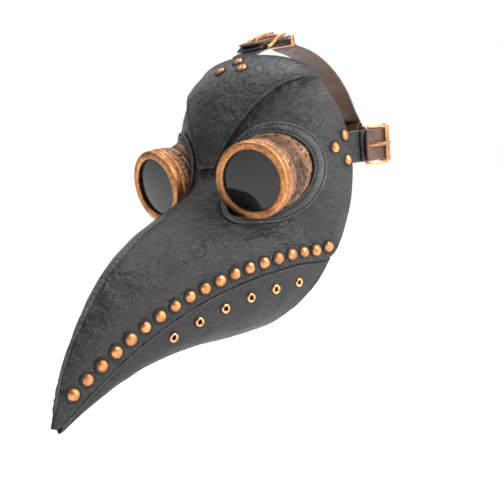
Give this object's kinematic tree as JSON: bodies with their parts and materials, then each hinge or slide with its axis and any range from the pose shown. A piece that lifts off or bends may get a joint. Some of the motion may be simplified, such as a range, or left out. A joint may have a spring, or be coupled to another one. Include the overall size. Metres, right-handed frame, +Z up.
{
  "type": "plague doctor mask",
  "caption": "Beaked leather costume mask with screw-on eye bezels, riveted mouth line and a buckled three-point head harness.",
  "frame": {"origin": "centre of the face opening, level with the eyes and in the plane of the temples", "axes": "+Z up as worn; the wearer looks along -Y, so the beak points to -Y and down; +X is the wearer's left"},
  "size_m": [0.174, 0.3856, 0.2821],
  "materials": {
    "shell_leather": "matte, grained and creased",
    "patch_leather": "matte",
    "lining_leather": "matte",
    "aged_bronze": "antiqued, pitted and streaked",
    "bezel_bronze": "satin, worn at the edges",
    "gasket_rubber": "matte",
    "smoked_lens": "polished, dark smoke tint",
    "copper_rivet": "satin, domed",
    "copper_eyelet": "satin",
    "tab_leather": "semi-matte",
    "buckle_brass": "antiqued",
    "strap_leather": "semi-gloss, edge burnished"
  },
  "bodies": {
    "mask": {"back_strap": "strap_leather", "crown_rivet_1": "copper_rivet", "crown_rivet_2": "copper_rivet", "crown_rivet_3": "copper_rivet", "eye_cup_left": "aged_bronze", "eye_cup_right": "aged_bronze", "eye_patch_left": "patch_leather", "eye_patch_right": "patch_leather", "eye_retainer_left": "lining_leather", "eye_retainer_right": "lining_leather", "eyelet_1_left": "copper_eyelet", "eyelet_1_right": "copper_eyelet", "eyelet_2_left": "copper_eyelet", "eyelet_2_right": "copper_eyelet", "eyelet_3_left": "copper_eyelet", "eyelet_3_right": "copper_eyelet", "eyelet_4_left": "copper_eyelet", "eyelet_4_right": "copper_eyelet", "eyelet_5_left": "copper_eyelet", "eyelet_5_right": "copper_eyelet", "eyelet_6_left": "copper_eyelet", "eyelet_6_right": "copper_eyelet", "forehead_panel": "shell_leather", "jaw_panel": "shell_leather", "mouth_rivets_left": "copper_rivet", "mouth_rivets_right": "copper_rivet", "ridge_binding": "shell_leather", "side_keeper_left": "buckle_brass", "side_keeper_right": "buckle_brass", "side_panel_left": "shell_leather", "side_panel_right": "shell_leather", "side_tab_left": "tab_leather", "side_tab_right": "tab_leather", "temple_rivet_1_left": "copper_rivet", "temple_rivet_1_right": "copper_rivet", "temple_rivet_2_left": "copper_rivet", "temple_rivet_2_right": "copper_rivet", "temple_rivet_3_left": "copper_rivet", "temple_rivet_3_right": "copper_rivet", "top_keeper": "buckle_brass", "top_strap": "strap_leather", "top_tab": "tab_leather"},
    "bezel_left": {"bezel_left": "bezel_bronze"},
    "bezel_right": {"bezel_right": "bezel_bronze"},
    "lens_set_left": {"lens_gasket_left": "gasket_rubber", "lens_left": "smoked_lens"},
    "lens_set_right": {"lens_gasket_right": "gasket_rubber", "lens_right": "smoked_lens"},
    "side_buckle_left": {"side_buckle_left": "buckle_brass"},
    "side_buckle_right": {"side_buckle_right": "buckle_brass"},
    "side_prong_left": {"side_prong_left": "buckle_brass"},
    "side_prong_right": {"side_prong_right": "buckle_brass"},
    "top_buckle": {"top_buckle": "buckle_brass"},
    "top_prong": {"top_prong": "buckle_brass"}
  },
  "joints": [
    {"name": "bezel_travel_left", "type": "slide", "parent": "mask", "child": "lens_set_left", "axis": [0.2041, -0.9602, -0.1908], "range_m": [0, 0.004]},
    {"name": "bezel_turn_left", "type": "hinge", "parent": "lens_set_left", "child": "bezel_left", "pos_m": [0.05, -0.098, 0.003], "axis": [0.2041, -0.9602, -0.1908], "range_deg": [0, 720]},
    {"name": "bezel_travel_right", "type": "slide", "parent": "mask", "child": "lens_set_right", "axis": [-0.2041, -0.9602, -0.1908], "range_m": [0, 0.004]},
    {"name": "bezel_turn_right", "type": "hinge", "parent": "lens_set_right", "child": "bezel_right", "pos_m": [-0.05, -0.098, 0.003], "axis": [-0.2041, -0.9602, -0.1908], "range_deg": [0, 720]},
    {"name": "side_buckle_left_hinge", "type": "hinge", "parent": "mask", "child": "side_buckle_left", "pos_m": [0.07904, 0.02202, 0.02722], "axis": [-0.0019, 0.0675, -0.9977], "range_deg": [0, 10]},
    {"name": "side_prong_left_hinge", "type": "hinge", "parent": "side_buckle_left", "child": "side_prong_left", "pos_m": [0.07904, 0.02202, 0.02722], "axis": [-0.0019, 0.0675, -0.9977], "range_deg": [0, 20]},
    {"name": "side_buckle_right_hinge", "type": "hinge", "parent": "mask", "child": "side_buckle_right", "pos_m": [-0.07904, 0.02202, 0.02722], "axis": [-0.0019, -0.0675, 0.9977], "range_deg": [0, 10]},
    {"name": "side_prong_right_hinge", "type": "hinge", "parent": "side_buckle_right", "child": "side_prong_right", "pos_m": [-0.07904, 0.02202, 0.02722], "axis": [-0.0019, -0.0675, 0.9977], "range_deg": [0, 20]},
    {"name": "top_buckle_hinge", "type": "hinge", "parent": "mask", "child": "top_buckle", "pos_m": [0, -0.0182, 0.11468], "axis": [1, 0, 0], "range_deg": [0, 10]},
    {"name": "top_prong_hinge", "type": "hinge", "parent": "top_buckle", "child": "top_prong", "pos_m": [0, -0.0182, 0.11468], "axis": [1, 0, 0], "range_deg": [0, 20]}
  ],
  "couplings": [
    {"joint": "bezel_travel_left", "follows": "bezel_turn_left", "m_per_rad": 0.00031831},
    {"joint": "bezel_travel_right", "follows": "bezel_turn_right", "m_per_rad": 0.00031831}
  ]
}
